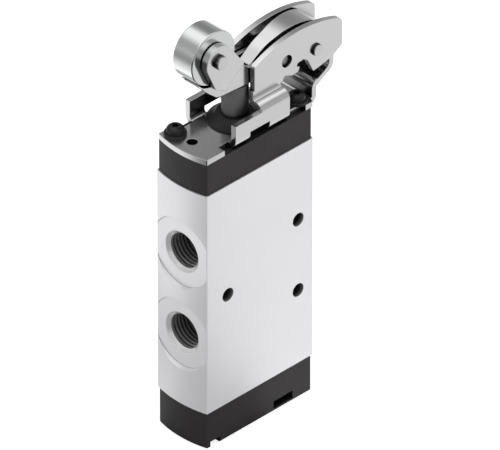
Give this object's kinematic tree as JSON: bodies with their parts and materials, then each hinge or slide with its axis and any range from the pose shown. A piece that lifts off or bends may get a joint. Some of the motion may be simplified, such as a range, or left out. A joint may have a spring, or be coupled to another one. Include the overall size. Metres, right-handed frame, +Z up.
{
  "type": "roller lever air valve",
  "caption": "Slim spool valve with threaded ports on its narrow ends, worked by a roller on a sprung lever above a push rod",
  "frame": {"origin": "centre of the flat bottom face of the bottom cover", "axes": "+Z up through the valve to the lever head, +X towards the narrow end with three ports, Y across the thickness"},
  "size_m": [0.061, 0.0208, 0.1408],
  "materials": {
    "body_aluminium": "fine matt, anodised",
    "cover_plastic": "fine moulded grain",
    "seal_rubber": "smooth",
    "black_screw": "black oxide",
    "bush_plastic": "smooth moulded",
    "turned_metal": "fine turned",
    "spring_steel": "drawn wire",
    "plunger_steel": "dark ground",
    "collar_rubber": "matt",
    "bright_steel": "bright rolled sheet",
    "pin_steel": "ground",
    "roller_steel": "polished"
  },
  "bodies": {
    "housing": {"valve_body": "body_aluminium", "top_cover": "cover_plastic", "bottom_cover": "cover_plastic", "top_cover_seal": "seal_rubber", "bottom_cover_seal": "seal_rubber", "bottom_cover_screws": "black_screw", "end_bushes": "bush_plastic", "spool_seals": "seal_rubber", "seal_cages": "bush_plastic", "plunger_seal": "seal_rubber", "plunger_collar": "collar_rubber", "bracket": "bright_steel", "bracket_screws": "black_screw", "lever_pivot_pin": "plunger_steel", "spacer_pin": "pin_steel"},
    "lever_arm": {"lever": "bright_steel", "roller_fork": "bright_steel", "roller_pin": "pin_steel"},
    "roller_wheel": {"roller": "roller_steel"},
    "push_rod": {"plunger": "plunger_steel"},
    "spool_set": {"spool": "turned_metal", "spring_seat": "bush_plastic", "return_spring": "spring_steel"}
  },
  "joints": [
    {"name": "lever_pivot", "type": "hinge", "parent": "housing", "child": "lever_arm", "pos_m": [0.0149, 0, 0.119], "axis": [0, -1, 0], "range_deg": [0, 12], "stiffness_Nm_per_rad": 0.6, "springref_deg": -8.59},
    {"name": "roller_spin", "type": "hinge", "parent": "lever_arm", "child": "roller_wheel", "pos_m": [-0.0128, 0, 0.132], "axis": [0, 1, 0], "continuous": true},
    {"name": "plunger_slide", "type": "slide", "parent": "housing", "child": "push_rod", "axis": [0, 0, -1], "range_m": [0, 0.00325]},
    {"name": "spool_slide", "type": "slide", "parent": "housing", "child": "spool_set", "axis": [0, 0, -1], "range_m": [0, 0.00325], "deforming": ["return_spring"]}
  ],
  "couplings": [
    {"joint": "plunger_slide", "follows": "lever_pivot", "m_per_rad": 0.01545},
    {"joint": "spool_slide", "follows": "lever_pivot", "m_per_rad": 0.01545}
  ]
}
